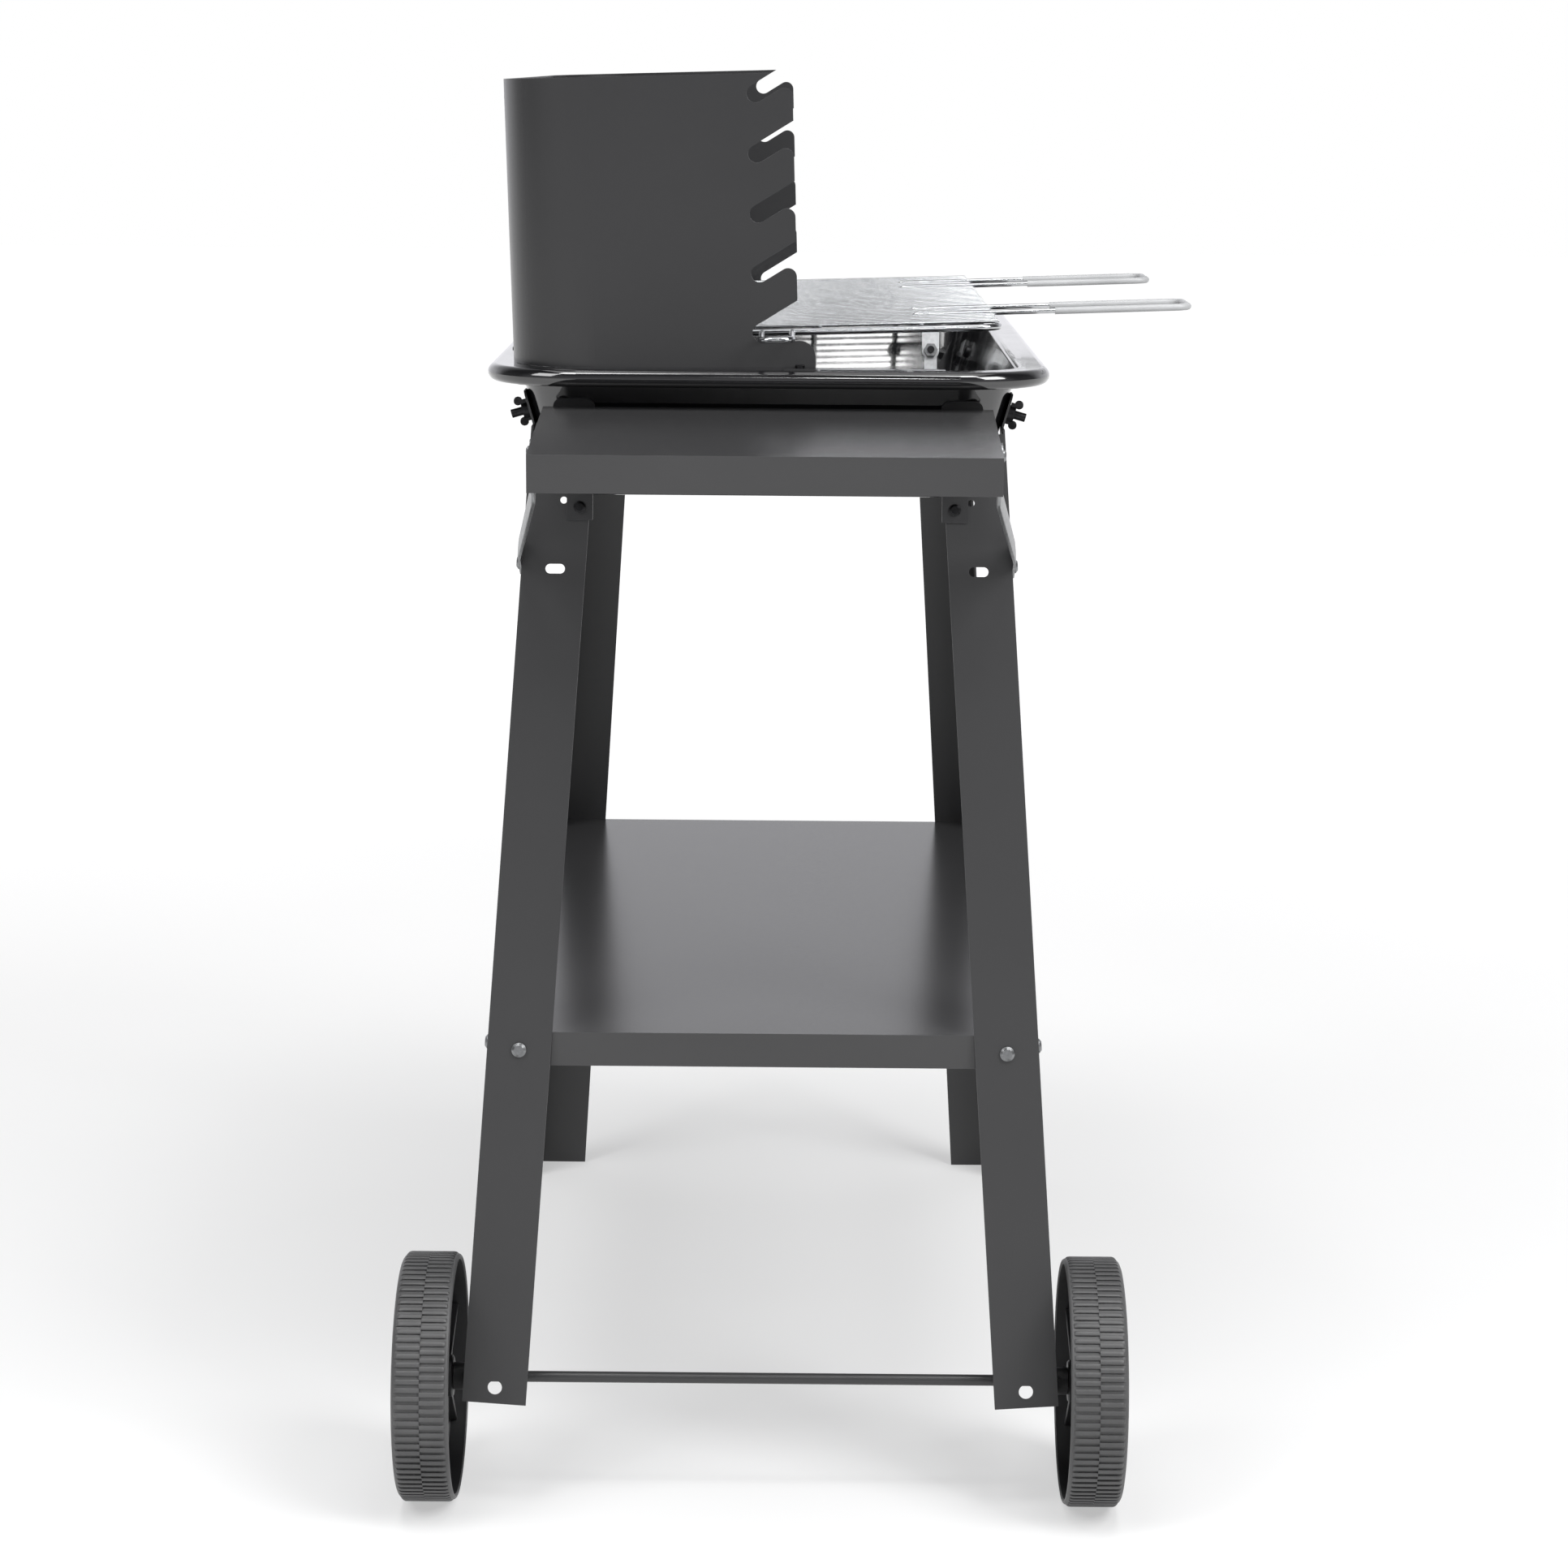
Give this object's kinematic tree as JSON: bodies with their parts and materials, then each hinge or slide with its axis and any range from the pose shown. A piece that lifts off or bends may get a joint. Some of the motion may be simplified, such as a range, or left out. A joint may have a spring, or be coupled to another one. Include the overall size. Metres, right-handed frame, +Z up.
{
  "type": "trolley charcoal grill",
  "caption": "Rectangular charcoal grill on a splayed sheet-steel trolley, with a three-sided windshield, a height-adjustable cooking grid, a side table and a bottom shelf.",
  "frame": {"origin": "on the ground, at the middle of the overall box", "axes": "+X from the wheels and side table to the foot end, +Y to the closed back of the windshield, +Z up"},
  "size_m": [0.8312, 0.4622, 0.8246],
  "materials": {
    "enamel": "glossy",
    "painted_steel": "satin",
    "zinc_steel": "satin",
    "chrome_wire": "polished",
    "grip_coating": "matte",
    "wheel_plastic": "matte"
  },
  "bodies": {
    "base": {"bowl": "enamel", "grate_brackets": "zinc_steel", "windshield_wheel_side": "painted_steel", "windshield_foot_side": "painted_steel", "windshield_back": "painted_steel", "windshield_seam_screws": "zinc_steel", "windshield_seam_nuts": "zinc_steel", "windshield_rim_screws": "zinc_steel", "leg_wheel_rear": "painted_steel", "leg_wheel_front": "painted_steel", "leg_foot_rear": "painted_steel", "leg_foot_front": "painted_steel", "bowl_side_bolts": "zinc_steel", "bowl_wing_nuts": "zinc_steel", "bowl_end_bolts": "zinc_steel", "bowl_end_nuts": "zinc_steel", "side_table": "painted_steel", "table_screws": "zinc_steel", "table_nuts": "zinc_steel", "brace_rear": "zinc_steel", "brace_front": "zinc_steel", "brace_bolts": "zinc_steel", "brace_nuts": "zinc_steel", "shelf": "painted_steel", "shelf_screws": "zinc_steel", "shelf_nuts": "zinc_steel", "axle": "zinc_steel", "axle_spacers": "wheel_plastic", "axle_caps": "wheel_plastic"},
    "charcoal_grate": {"charcoal_grate_frame": "chrome_wire", "charcoal_grate_bars": "chrome_wire"},
    "cooking_grid": {"grid_frame": "chrome_wire", "grid_cross_wires": "chrome_wire", "grid_bars": "chrome_wire"},
    "handle_a": {"handle_wheel_side": "chrome_wire", "grip_wheel_side": "grip_coating"},
    "handle_b": {"handle_foot_side": "chrome_wire", "grip_foot_side": "grip_coating"},
    "wheel_a": {"wheel_rear": "wheel_plastic"},
    "wheel_b": {"wheel_front": "wheel_plastic"}
  },
  "joints": [
    {"name": "wheel_rear_spin", "type": "hinge", "parent": "base", "child": "wheel_a", "pos_m": [-0.25266, 0.21505, 0.0725], "axis": [0, 1, 0], "continuous": true},
    {"name": "wheel_front_spin", "type": "hinge", "parent": "base", "child": "wheel_b", "pos_m": [-0.25266, -0.17195, 0.0725], "axis": [0, 1, 0], "continuous": true},
    {"name": "grid_lift_out", "type": "slide", "parent": "base", "child": "cooking_grid", "axis": [0, -0.8499, 0.527], "range_m": [0, 0.12]},
    {"name": "grate_lift_out", "type": "slide", "parent": "base", "child": "charcoal_grate", "axis": [0, 0, 1], "range_m": [0, 0.03]},
    {"name": "handle_wheel_side_swing", "type": "hinge", "parent": "cooking_grid", "child": "handle_a", "pos_m": [-0.0696, -0.06684, 0.67939], "axis": [-1, 0, 0], "range_deg": [0, 100]},
    {"name": "handle_foot_side_swing", "type": "hinge", "parent": "cooking_grid", "child": "handle_b", "pos_m": [0.1992, -0.06684, 0.67939], "axis": [-1, 0, 0], "range_deg": [0, 100]}
  ]
}
